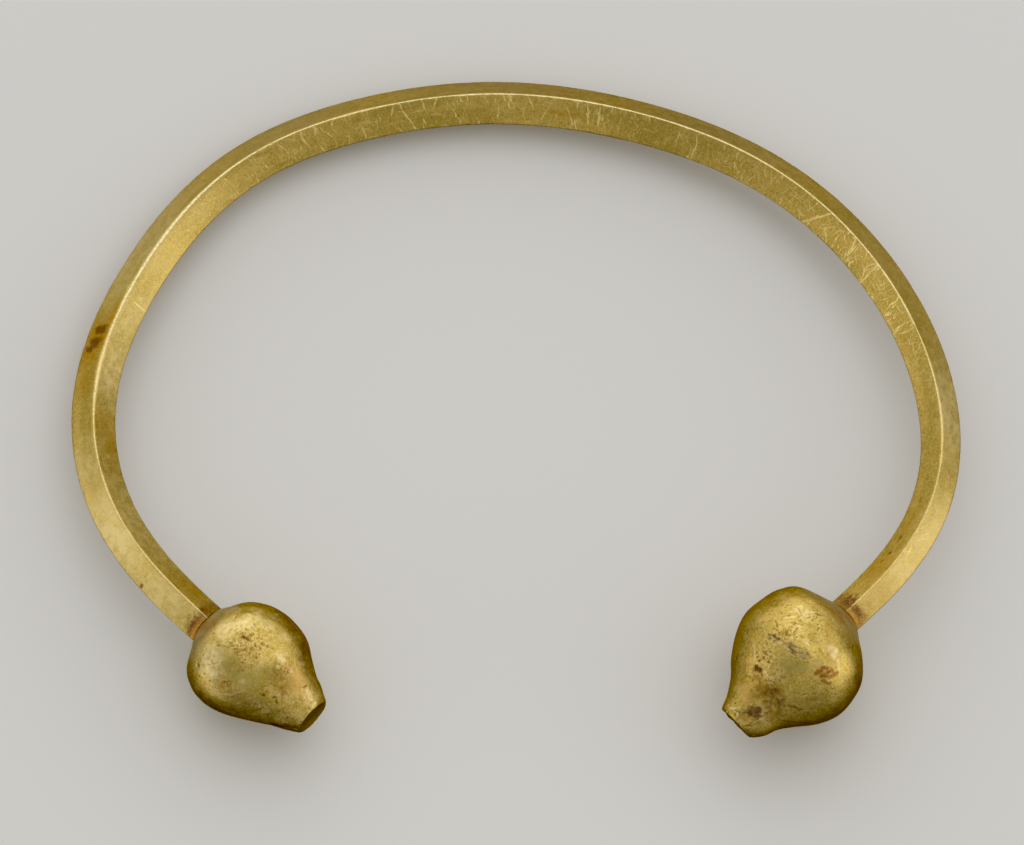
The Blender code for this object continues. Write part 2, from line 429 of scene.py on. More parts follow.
# Knocks: share of the length, place across (1 is the upper edge, 2 the inner one), length, depth
BAR_KNOCKS = (
    (0.232, 0.9, 0.9, 0.1), (0.238, 1.12, 0.5, 0.1), (0.35, 1.02, 0.8, 0.14), (0.358, 1.06, 0.4, 0.12),
    (0.7, 1.05, 0.7, 0.08), (0.755, 1.08, 0.6, 0.08),
)

# Stains, and stretches painted lighter or darker as light and shade: share of the length, place across
# (0.5 is the middle of the upper outer face and 1.5 that of the upper inner face), half length, half width,
# strength
BAR_STAINS = {
    "ochre": (
        (0.17, 0.5, 3.5, 1.2, 0.55), (0.188, 0.45, 3.5, 1.6, 0.75), (0.199, 0.55, 4.0, 1.8, 0.9),
        (0.212, 0.78, 3.0, 0.7, 0.9), (0.218, 0.72, 1.6, 0.6, 0.7), (0.131, 1.62, 3.0, 0.7, 0.6),
        (0.145, 1.42, 3.0, 1.2, 0.45), (0.118, 1.55, 2.5, 1.4, 0.25), (0.538, 1.5, 4.0, 0.22, 0.5),
        (0.022, 1.55, 3.5, 2.2, 0.35), (0.935, 1.6, 7.0, 1.6, 0.3), (0.965, 1.5, 4.0, 2.2, 0.55),
        (0.975, 0.5, 3.0, 2.0, 0.35),
    ),
    "orange": (
        (0.001, 0.25, 0.6, 2.4, 1.0), (0.999, 0.45, 0.6, 2.4, 1.0),
    ),
    # Painted shade: the outer face over the back, painted darker and greyer
    "painted_back_shade": (
        (0.28, 0.5, 16.0, 2.8, 0.55), (0.38, 0.5, 20.0, 2.8, 0.85), (0.5, 0.5, 26.0, 2.8, 1.0),
        (0.62, 0.5, 22.0, 2.8, 0.85), (0.74, 0.5, 20.0, 2.8, 0.4),
    ),
    "brown": (
        (0.0046, 0.5, 1.2, 1.6, 0.78), (0.005, 1.28, 1.3, 1.1, 0.76), (0.9935, 1.4, 2.1, 1.6, 0.78),
        (0.9948, 0.6, 1.1, 1.4, 0.72), (0.1915, 0.42, 1.0, 0.8, 0.9), (0.1955, 0.52, 1.3, 1.0, 1.0),
        (0.2035, 0.55, 1.3, 1.0, 1.0), (0.2315, 0.82, 0.9, 0.22, 0.8), (0.0435, 0.3, 0.5, 0.4, 0.9),
        (0.0425, 0.42, 0.3, 0.3, 0.6), (0.125, 0.45, 0.14, 0.6, 0.7), (0.942, 1.53, 0.9, 0.2, 0.9),
        (0.946, 1.56, 0.6, 0.16, 0.7), (0.9535, 1.52, 0.7, 0.22, 0.9), (0.961, 1.55, 0.6, 0.2, 0.8),
        (0.915, 1.5, 1.1, 0.2, 0.6), (0.845, 0.72, 1.0, 0.7, 0.35), (0.848, 0.55, 0.7, 0.6, 0.3),
        (0.116, 1.55, 2.0, 1.0, 0.3), (0.147, 1.35, 1.8, 1.0, 0.3), (0.2875, 1.72, 0.4, 0.35, 0.6),
    ),
    # Painted highlights: the outer face near both ends and the inner face on the left, painted lighter where
    # they catch the light
    "painted_highlight": (
        (0.03, 0.5, 8.0, 3.4, 0.75), (0.075, 0.5, 9.0, 3.4, 1.0), (0.12, 0.5, 5.0, 3.0, 0.5),
        (0.08, 1.5, 11.0, 2.6, 0.55), (0.18, 1.5, 6.0, 2.6, 0.85), (0.215, 1.5, 8.0, 2.6, 0.55),
        (0.255, 1.5, 8.0, 2.6, 0.3), (0.3, 1.5, 7.0, 2.4, 0.2), (0.93, 0.5, 8.0, 3.4, 0.6),
        (0.965, 0.5, 8.0, 3.4, 0.7), (0.855, 0.5, 9.0, 3.0, 0.9), (0.64, 0.5, 14.0, 3.0, 0.25),
        (0.26, 0.5, 12.0, 3.0, 0.55),
    ),
}

# How far the heat tint of the joints reaches, at each half step round the bar from its outer edge, how
# uneven its border is and how much farther its weakest part goes
LEFT_BURN = (2.2, 3.4, 1.6, 4.0, 2.4, 0.8, 0.4, 0.8, 2.2)
RIGHT_BURN = (2.0, 4.4, 2.2, 5.0, 2.4, 0.8, 0.4, 0.8, 2.0)
BURN_WAVES = 0.9
BURN_FADE = 1.25

# Clear scratches: share and place across of both ends, strength
BAR_SCRATCHES = (
    (0.434, 1.02, 0.451, 1.95, 0.9), (0.452, 1.05, 0.4545, 1.6, 0.7), (0.3755, 1.05, 0.3795, 1.7, 0.7),
    (0.385, 1.05, 0.387, 1.45, 0.8), (0.3905, 1.35, 0.396, 1.55, 0.7), (0.466, 1.3, 0.476, 1.85, 0.6),
    (0.455, 1.15, 0.461, 1.3, 0.6), (0.227, 1.1, 0.2275, 1.95, 0.9), (0.239, 1.02, 0.242, 1.55, 0.6),
    (0.552, 1.15, 0.554, 1.75, 0.9), (0.559, 1.05, 0.561, 1.7, 0.7), (0.567, 1.08, 0.568, 1.4, 0.7),
    (0.5725, 1.05, 0.5745, 1.35, 0.6), (0.6215, 1.1, 0.621, 1.9, 0.8), (0.617, 1.7, 0.6235, 1.85, 0.7),
    (0.6285, 1.05, 0.6295, 1.4, 0.5), (0.655, 1.5, 0.657, 1.85, 0.7), (0.6995, 1.9, 0.7195, 1.08, 0.9),
    (0.711, 1.75, 0.725, 1.3, 0.6), (0.716, 1.55, 0.724, 1.75, 0.6), (0.734, 1.1, 0.741, 1.6, 0.8),
    (0.741, 1.15, 0.738, 1.9, 0.8), (0.744, 1.05, 0.75, 1.4, 0.8), (0.7425, 1.55, 0.75, 1.9, 0.7),
    (0.7575, 1.0, 0.7585, 1.95, 1.0), (0.759, 1.55, 0.772, 1.62, 0.5), (0.7805, 1.05, 0.783, 1.75, 0.8),
    (0.786, 1.5, 0.783, 1.9, 0.7), (0.797, 1.0, 0.801, 1.35, 0.8), (0.799, 1.1, 0.7945, 1.85, 0.7),
    (0.803, 1.05, 0.8025, 1.55, 0.6), (0.843, 1.6, 0.844, 1.8, 0.6), (0.9055, 1.0, 0.904, 1.25, 0.8),
    (0.93, 0.3, 0.942, 0.7, 0.6), (0.938, 0.8, 0.956, 0.55, 0.6), (0.925, 0.55, 0.948, 0.6, 0.5),
)

# Stretches of the inner face with many short scratches: from, to, how many
HAIR_STRETCHES = (
    (0.36, 0.5, 60), (0.5, 0.58, 70), (0.58, 0.7, 50), (0.7, 0.82, 95), (0.22, 0.36, 40),
)


def cobweb_level(share, across):
    """How thickly hair-thin scratches lie: most on the upper inner face over the back and the right."""
    inner = np.exp(-((across - 1.5) / 0.47) ** 6)
    outer = np.exp(-((across - 0.5) / 0.47) ** 6)
    back = fade(share, 0.20, 0.36) * (1.0 - fade(share, 0.82, 0.88))
    shoulder = fade(share, 0.66, 0.72) * (1.0 - fade(share, 0.80, 0.84))
    near_right = fade(share, 0.90, 0.93)
    upper_faces = inner * (0.25 + 0.32 * back + 0.48 * shoulder) + outer * (0.15 + 0.55 * near_right)
    return upper_faces + 0.2 * (across > 2.1)


def ridge_wear_and_highlight(share, across):
    """How worn each edge is and how strongly its line is painted as a highlight: the upper one most, more so
    over the back, and over a broader band on the left.
    """
    broad = fade(share, 0.05, 0.10) * (1.0 - fade(share, 0.30, 0.36))
    middle = fade(share, 0.06, 0.30) * (1.0 - fade(share, 0.72, 0.92))
    upper = (0.50 + 0.75 * middle) * bell(across, 1.0, 0.090 + 0.020 * broad)
    others = sum(bell(across, side, 0.05) for side in (0.0, 2.0, 3.0))
    return upper + 0.35 * others


# Terminals

TERMINAL_RINGS = 262
TERMINAL_POINTS = 340
RING_CROWDING = 1.35
TOP_CROWDING = 0.35
SOFT_EDGE = 0.22
MARK_DEPTH = 2.5
# Kinds of marks, and whether they fade out softly from the middle
MARK_KINDS = {
    "rough": True,
    "green": True,
    "tan": True,
    "brown": True,
    "smoke": True,
    "char": True,
    "rust": False,
    "dark": False,
    # painted highlights: lighter marks where the balls catch the light
    "painted_highlight": True,
}
RIM = 0.28
RIM_RINGS = 6
DISC_RINGS = 10
SEAT_RINGS = 9
INNER_RING_SHARE = 0.12


def terminal_outline(form, seat_radius):
    """Axial place, radius, offset and share of length of every ring, from the seat to the tip."""
    shares = [0.0] + [row[0] for row in form["profile"]]
    radii = [seat_radius] + [form["radius"] * row[1] for row in form["profile"]]
    offsets = [0.0] + [form["radius"] * row[2] for row in form["profile"]]
    body = np.linspace(0.0, 1.0, TERMINAL_RINGS) ** RING_CROWDING * (1.0 - RIM / form["length"])
    radius = smooth(shares, radii, body)
    offset = smooth(shares, offsets, body)
    place = body * form["length"]

    cap_radius = seat_radius * np.linspace(INNER_RING_SHARE, 1.0, SEAT_RINGS, endpoint=False)
    cap_place = -cap_height(cap_radius, seat_radius)

    turn = np.linspace(0.0, 0.5 * math.pi, RIM_RINGS + 1)[1:]
    rim_radius = radii[-1] - RIM + RIM * np.cos(turn)
    rim_place = form["length"] - RIM + RIM * np.sin(turn)
    disc_radius = np.linspace(rim_radius[-1], 0.0, DISC_RINGS + 2)[1:-1]
    dish = form["dish"] * (1.0 - (disc_radius / rim_radius[-1]) ** 4)
    disc_place = form["length"] - dish

    place = np.concatenate([cap_place, place, rim_place, disc_place])
    radius = np.concatenate([cap_radius, radius, rim_radius, disc_radius])
    offset = np.concatenate([np.zeros(SEAT_RINGS), offset, np.full(RIM_RINGS + DISC_RINGS, offsets[-1])])
    share = np.concatenate([np.zeros(SEAT_RINGS), body, np.ones(RIM_RINGS + DISC_RINGS)])
    return place, radius, offset, share


def grid_normals(grid):
    """Outward directions of a grid of rings."""
    lengthwise = np.gradient(grid, axis=0)
    around = np.roll(grid, -1, axis=1) - np.roll(grid, 1, axis=1)
    normal = np.cross(around, lengthwise)
    return normal / (np.linalg.norm(normal, axis=2, keepdims=True) + 1e-9)


def build_terminal(name, form, half_diagonal, bar_end, course, material, node):
    length, seed = form["length"], form["seed"]
    place, radius, offset, share = terminal_outline(form, half_diagonal + SEAT_MARGIN)
    turn = 2.0 * math.pi * np.arange(TERMINAL_POINTS) / TERMINAL_POINTS
    angle = turn + TOP_CROWDING * np.cos(turn)
    height = radius[:, None] * np.sin(angle)
    slant = np.clip((share - SLANT_START_SHARE) / (1.0 - SLANT_START_SHARE), 0.0, None) ** 2
    lean = np.tan(form["tip_angle"]) * slant
    grid = np.stack([
        place[:, None] + lean[:, None] * height,
        offset[:, None] + radius[:, None] * np.cos(angle),
        height,
    ], axis=2)
    normal = grid_normals(grid)
    first, last = SEAT_RINGS, SEAT_RINGS + TERMINAL_RINGS
    body = np.zeros((len(place), 1))
    body[first:last] = 1.0
    off_ends = fade(place, 0.2, 2.0) * (1.0 - fade(place, length - 2.0, length))
    open_skin = body * off_ends[:, None]

    def spot(share_at, degrees):
        """The place on the terminal at this share of its length and this far round."""
        ring = first + int(np.argmin(np.abs(share[first:last] - share_at)))
        column = int(np.argmax(np.cos(angle - math.radians(degrees))))
        return grid[ring, column]

    wander = np.stack([value_noise(grid, 0.8, seed + 60 + axis) for axis in range(3)], axis=2)

    def stroke(start, end, width, strength, soft):
        """How much of each point a mark covers; a soft mark fades out from its middle."""
        bent = grid + wander * min(0.45 * width, 0.5)
        step = end - start
        share_along = np.clip((bent - start) @ step / max(step @ step, 1e-6), 0.0, 1.0)
        gap = bent - start - share_along[..., None] * step
        depth = (gap * normal).sum(axis=2)
        reach = np.sqrt(np.clip((gap ** 2).sum(axis=2) - depth ** 2, 0.0, None))
        near = np.abs(depth) < MARK_DEPTH
        if soft:
            return near * strength * np.clip(1.0 - (reach / (1.25 * width)) ** 2, 0.0, None) ** 1.5
        return near * strength * np.clip(0.5 + (width - reach) / SOFT_EDGE, 0.0, 1.0)

    # Relief: overlapping hammer marks, then the listed forms, then the fine unevenness
    relief = np.zeros(grid.shape[:2])
    draw = np.random.default_rng(seed)
    for _ in range(form["hammer_marks"]):
        centre = spot(draw.uniform(0.02, 0.95), draw.uniform(0.0, 360.0))
        size = draw.uniform(1.4, 3.4)
        relief -= draw.uniform(0.006, 0.020) * size / 2.5 * bump_at(grid, centre, size)
    for at, degrees, size, rise in form["forms"]:
        relief += rise * bump_at(grid, spot(at, degrees), size)
    relief += 0.012 * layered_noise(grid, 2.4, seed)
    relief += 0.005 * layered_noise(grid, 0.7, seed + 5, 2)
    relief *= open_skin

    # Marks: how strong each kind is at every point, and what three of them do to the relief
    fields = {}
    for key, soft in MARK_KINDS.items():
        total = np.zeros(grid.shape[:2])
        for mark in form["marks"].get(key, ()):
            start, end = spot(mark[0] / 1000, mark[1]), spot(mark[-4] / 1000, mark[-3])
            total = np.maximum(total, stroke(start, end, mark[-2] / 100, mark[-1] / 10, soft))
        fields[key] = total
    for _ in range(form["spots"]):
        centre = (draw.uniform(0.05, 0.97), draw.uniform(0.0, 360.0))
        other = (centre[0] + draw.uniform(-0.01, 0.01), centre[1] + draw.uniform(-3.0, 3.0))
        pit = stroke(spot(*centre), spot(*other), draw.uniform(0.08, 0.20), draw.uniform(0.4, 0.9), False)
        fields["dark"] = np.maximum(fields["dark"], pit * fade(-normal[..., 2], -0.5, 0.2))
    cells = layered_noise(grid, 0.55, seed + 9, 2)
    relief -= fields["rough"] * (0.035 * np.clip(cells - 0.25, 0.0, None) + 0.008 * cells) * body
    relief -= 0.09 * fields["dark"] * body
    relief += 0.02 * fields["painted_highlight"] * body
    rim_wave = 0.06 * value_noise(grid, 1.1, seed + 20)
    rim_wave += 0.05 * value_noise(grid, 0.5, seed + 21)
    near_rim = fade(place, length - 1.2, length - 0.2) * (radius > 0.85 * radius[last])
    relief += near_rim[:, None] * rim_wave
    grid = grid + normal * relief[..., None]

    wave = layered_noise(grid, 1.6, seed + 40)
    fields["solder"] = 1.0 - fade(place[:, None] + 0.15 * wave, -0.50, -0.10)
    fields["seat"] = 1.0 - fade(place[:, None] + 0.5 * wave, 1.0, 4.6)
    # Painted shade: the flat tip is painted dark olive, as it looks when turned from the light
    tip_painted_shade = fade(place, length - 0.30, length - 0.02)
    fields["tip"] = np.repeat(tip_painted_shade[:, None], TERMINAL_POINTS, axis=1)

    start_tip = np.array((-cap_height(0.0, half_diagonal + SEAT_MARGIN), 0.0, 0.0))
    end_tip = np.array((length - form["dish"], offset[-1], 0.0))
    cloud = np.concatenate([grid.reshape(-1, 3), [start_tip, end_tip]])
    gap = JOINT_GAP * Vector((math.cos(course), math.sin(course), 0.0))
    seat = Matrix.Translation(Vector((*bar_end, 0.0)) + gap) @ Matrix.Rotation(course, 4, "Z")
    cloud = placed(cloud, LYING @ seat)
    cloud[:, 2] = np.clip(cloud[:, 2], 0.0, None)
    flat_fields = {}
    for key, values in fields.items():
        flat_fields[key] = np.concatenate([values.ravel(), [0.0, values[-1, 0]]])
    faces = ring_faces(len(place), TERMINAL_POINTS)
    return make_piece(name, cloud, faces, flat_fields, material, node)


# Marks on the terminals, strokes between two places and spots at one: thousandths of the length and
# degrees round the axis of each place, half width in hundredths of a millimetre, strength from 0 to 10
LEFT_MARKS = {
    "rough": (
        (411, 91, 368, 10), (332, 87, 174, 8), (260, 127, 213, 8), (430, 138, 194, 6), (681, 80, 213, 5),
        (901, 79, 252, 6), (889, 144, 291, 5), (728, 143, 232, 3.5),
    ),
    "green": (
        (297, 114, 391, 119, 136, 10), (480, 126, 596, 121, 155, 10), (553, 111, 630, 100, 136, 8),
        (90, 83, 195, 91, 116, 5), (521, 74, 116, 4),
    ),
    "tan": (
        (728, 75, 857, 76, 213, 10), (908, 73, 960, 74, 116, 8), (863, 128, 174, 5), (221, 123, 116, 4),
    ),
    "char": (
        # The last stroke here, wide and soft along the ball's right side, is painted shade
        (832, 178, 990, 158, 60, 3.5), (341, 88, 380, 87, 50, 5), (450, 26, 700, 30, 240, 3.4),
    ),
    "brown": (
        (704, 94, 782, 106, 174, 9), (391, 93, 454, 91, 194, 5.5), (387, 104, 87, 8), (401, 134, 87, 6),
        (445, 137, 107, 7), (782, 32, 876, 23, 107, 9), (675, 41, 776, 43, 116, 6),
        (832, 180, 1000, 156, 68, 10), (285, 92, 97, 4), (876, 104, 155, 5), (315, 169, 364, 174, 58, 7),
        # The wide stroke from 360 to 700 at about 30 degrees, along the ball's right side, is painted shade
        (387, 165, 569, 159, 97, 3.5), (710, 78, 68, 6), (150, 105, 116, 3.5), (360, 30, 700, 32, 280, 8.5),
        (620, 96, 760, 92, 130, 5.5),
    ),
    "smoke": (
        (382, 45, 364, 20, 27, 10), (710, 48, 116, 4), (693, 64, 77, 3), (163, 42, 297, 31, 77, 2.5),
    ),
    "dark": (
        (184, 74, 17, 10), (248, 110, 19, 10), (328, 70, 15, 8), (341, 88, 387, 87, 19, 10),
        (420, 81, 15, 9), (310, 80, 15, 9), (459, 82, 480, 80, 15, 9), (505, 80, 19, 9), (454, 98, 14, 8),
        (332, 102, 14, 8), (459, 109, 17, 8), (475, 119, 19, 7), (199, 142, 213, 141, 21, 10),
        (289, 142, 17, 10), (264, 150, 14, 8), (350, 144, 15, 9), (150, 104, 15, 8), (699, 126, 25, 10),
        (681, 128, 14, 7), (699, 120, 15, 7), (758, 122, 764, 119, 17, 10), (782, 121, 795, 125, 17, 10),
        (857, 70, 857, 63, 19, 9), (710, 78, 722, 80, 14, 8), (876, 155, 17, 8), (350, 172, 23, 8),
        (323, 168, 17, 7), (795, 155, 19, 7), (537, 138, 15, 7), (297, 86, 14, 7), (260, 88, 14, 7),
        (240, 83, 14, 6), (450, 92, 15, 7), (411, 97, 14, 7), (391, 86, 14, 7), (440, 87, 14, 7),
        (345, 93, 14, 7), (319, 96, 12, 7), (373, 80, 14, 7), (364, 38, 396, 33, 12, 8), (490, 198, 15, 5),
        (734, 149, 15, 6), (687, 146, 15, 6), (430, 131, 15, 7), (459, 132, 15, 7),
    ),
    # Painted highlights: the light on the left ball, the lit edges of its facets and the lit rim of its tip
    "painted_highlight": (
        (264, 124, 250, 10), (319, 133, 230, 10), (630, 79, 95, 10), (652, 88, 48, 6),
        (200, 95, 280, 75, 150, 7), (716, 75, 48, 6), (232, 69, 382, 60, 116, 4.5),
        (450, 151, 531, 146, 17, 9), (341, 144, 450, 151, 17, 7), (526, 145, 585, 134, 17, 8),
        (387, 140, 430, 134, 15, 6), (980, 79, 980, 67, 27, 10), (993, 131, 987, 84, 19, 9),
        (425, 67, 425, 55, 10, 6), (882, 69, 947, 73, 58, 6), (252, 92, 368, 92, 15, 3),
        (440, 108, 531, 103, 17, 4), (531, 103, 521, 91, 17, 3.5), (537, 125, 58, 5),
    ),
}
RIGHT_MARKS = {
    "rough": (
        (647, 102, 204, 10), (630, 113, 143, 8), (658, 81, 164, 7), (248, 92, 204, 9), (359, 100, 225, 7),
        (511, 106, 204, 8), (435, 96, 184, 8), (345, 80, 164, 6), (722, 101, 143, 9), (947, 103, 143, 9),
        (716, 85, 123, 7), (225, 81, 123, 6), (377, 113, 164, 5), (857, 57, 164, 4),
    ),
    "green": (
        (607, 84, 521, 67, 123, 10), (901, 55, 876, 40, 92, 6), (547, 90, 102, 4), (547, 34, 184, 4),
        (558, 55, 164, 3), (250, 96, 370, 86, 280, 5),
    ),
    "tan": (
        (832, 116, 863, 94, 102, 10), (310, 64, 341, 53, 143, 8), (531, 101, 500, 90, 82, 7),
        (225, 77, 293, 66, 92, 7), (776, 105, 123, 6), (430, 64, 102, 5),
    ),
    "brown": (
        (776, 94, 746, 64, 200, 10), (758, 75, 800, 44, 190, 9), (795, 52, 61, 9), (440, 98, 153, 8),
        (350, 79, 123, 6), (256, 73, 102, 5), (445, 123, 102, 5), (716, 103, 57, 10), (490, 104, 61, 9),
        (728, 147, 693, 130, 51, 6), (782, 115, 770, 112, 41, 6), (260, 23, 268, 5, 92, 9),
        (934, 70, 908, 54, 102, 7), (734, 46, 681, 31, 51, 8), (807, 27, 652, 358, 33, 8),
        (652, 358, 537, 353, 29, 8), (647, 19, 82, 4), (272, 38, 33, 7), (838, 32, 61, 5),
        (901, 132, 876, 126, 61, 5), (521, 15, 475, 8, 61, 6), (699, 37, 61, 6), (459, 55, 123, 3),
        (128, 34, 163, 21, 61, 5), (280, 98, 360, 84, 240, 3.2),
    ),
    "smoke": (
        (485, 90, 467, 86, 53, 8), (493, 87, 461, 75, 82, 10), (459, 74, 444, 65, 70, 4.5),
        (529, 101, 502, 93, 70, 3.5), (544, 110, 526, 106, 49, 9), (531, 105, 515, 101, 37, 9),
        (542, 112, 516, 101, 40, 7), (889, 77, 61, 6), (558, 117, 51, 5), (908, 131, 51, 5),
        (0, 38, 57, 11, 51, 3), (328, 148, 217, 137, 37, 5), (93, 120, 15, 132, 37, 5),
    ),
    "char": (
        (897, 76, 880, 66, 115, 10), (921, 84, 908, 72, 60, 6), (758, 68, 745, 56, 180, 4.8),
        (716, 106, 716, 99, 70, 6), (800, 64, 850, 50, 130, 4),
    ),
    "rust": (
        (484, 58, 458, 56, 40, 10), (440, 58, 412, 55, 32, 10), (427, 52, 396, 50, 36, 10),
        (470, 53, 441, 50, 34, 10), (437, 47, 414, 46, 28, 9.5), (397, 46, 380, 45, 40, 10),
        (474, 46, 450, 43, 28, 9.5), (485, 50, 468, 48, 24, 9), (446, 53, 434, 50, 25, 8.5),
    ),
    "dark": (
        (537, 113, 526, 108, 12, 10), (526, 108, 516, 102, 16, 10), (516, 107, 526, 103, 14, 10),
        (511, 89, 505, 85, 16, 10), (521, 84, 516, 80, 14, 9), (526, 87, 526, 85, 10, 8),
        (475, 85, 459, 81, 8, 6), (716, 106, 716, 99, 41, 10), (921, 82, 908, 70, 20, 7),
        (445, 115, 464, 110, 10, 10), (276, 110, 289, 105, 8, 9), (285, 115, 281, 113, 8, 8),
        (630, 47, 607, 46, 10, 9), (574, 43, 564, 42, 8, 8), (470, 37, 445, 35, 8, 9),
        (153, 43, 177, 44, 10, 10), (980, 56, 954, 50, 14, 10), (960, 56, 940, 56, 8, 8), (630, 103, 18, 9),
        (652, 104, 16, 9), (641, 99, 16, 9), (670, 105, 16, 8), (618, 97, 16, 8), (635, 105, 12, 8),
        (647, 95, 14, 8), (624, 94, 12, 7), (585, 109, 18, 8), (716, 82, 704, 75, 14, 9),
        (722, 84, 710, 80, 10, 8), (776, 101, 14, 8), (770, 110, 776, 108, 16, 8), (495, 97, 16, 8),
        (470, 99, 14, 9), (210, 95, 199, 91, 10, 9), (289, 83, 16, 9), (268, 81, 14, 9), (256, 94, 12, 7),
        (368, 107, 14, 7), (382, 104, 359, 100, 10, 6), (332, 96, 315, 92, 10, 6), (167, 80, 14, 7),
        (475, 108, 12, 6), (734, 147, 25, 8), (710, 128, 16, 7), (596, 140, 20, 5),
        (681, 84, 675, 81, 12, 7), (681, 79, 12, 7), (526, 50, 500, 47, 6, 5), (490, 11, 485, 2, 12, 8),
        (505, 9, 500, 4, 10, 7), (699, 37, 693, 33, 16, 7), (940, 91, 960, 99, 10, 6), (819, 50, 12, 7),
        (844, 33, 20, 7), (505, 42, 495, 38, 8, 5), (574, 69, 547, 65, 8, 4), (401, 87, 14, 6),
        (364, 85, 14, 6), (323, 83, 14, 6), (232, 87, 14, 7), (607, 90, 14, 5), (693, 100, 12, 6),
    ),
    # Painted highlights: the light on the right ball, the lit edges of its facets and of its tip
    "painted_highlight": (
        (315, 59, 92, 10), (306, 65, 82, 6), (699, 107, 699, 101, 18, 10), (699, 100, 704, 85, 16, 9),
        (704, 85, 687, 79, 14, 7), (635, 122, 670, 115, 29, 8), (675, 114, 693, 106, 20, 8),
        (967, 120, 947, 105, 20, 10), (947, 100, 973, 89, 16, 10), (934, 54, 857, 49, 16, 8),
        (580, 32, 569, 30, 10, 10), (285, 110, 276, 102, 102, 5), (236, 98, 206, 96, 16, 8),
        (373, 98, 355, 94, 16, 6), (420, 88, 406, 79, 16, 7), (387, 111, 337, 106, 25, 5),
        (531, 101, 526, 92, 29, 5), (310, 57, 350, 45, 29, 5), (670, 75, 647, 68, 16, 5),
        (652, 63, 658, 58, 16, 6), (641, 110, 618, 109, 14, 6), (624, 104, 607, 99, 10, 6),
        (675, 102, 652, 92, 10, 6), (396, 86, 396, 82, 12, 6), (980, 79, 980, 55, 12, 6),
    ),
}

# Forms: share of the length, degrees round the axis, half width, rise
LEFT.update({
    "seed": 3,
    "dish": 0.25,
    "hammer_marks": 110,
    "spots": 40,
    "forms": (
        (0.33, 112.0, 3.0, -0.07), (0.43, 138.0, 2.2, -0.09), (0.26, 130.0, 2.2, 0.05),
        (0.55, 123.0, 2.8, 0.05), (0.62, 79.0, 1.6, 0.08), (0.73, 98.0, 3.0, -0.14),
        (0.52, 62.0, 2.6, -0.06), (0.3, 68.0, 3.4, 0.05), (0.88, 180.0, 2.5, 0.12), (0.88, 0.0, 1.5, 0.12),
        (0.98, 110.0, 1.0, 0.07), (0.97, 60.0, 1.0, -0.06),
    ),
    "marks": LEFT_MARKS,
})
RIGHT.update({
    "seed": 8,
    "dish": 0.12,
    "hammer_marks": 130,
    "spots": 50,
    "forms": (
        (0.558, 75.0, 3.0, -0.12), (0.25, 180.0, 4.0, -0.18), (0.08, 180.0, 2.0, 0.2),
        (0.31, 59.0, 2.4, 0.06), (0.66, 92.0, 1.4, 0.09), (0.795, 73.0, 3.0, -0.14),
        (0.95, 107.0, 1.1, 0.07), (0.93, 40.0, 1.6, -0.07), (0.9, 52.0, 1.2, 0.05),
    ),
    "marks": RIGHT_MARKS,
})


# Materials

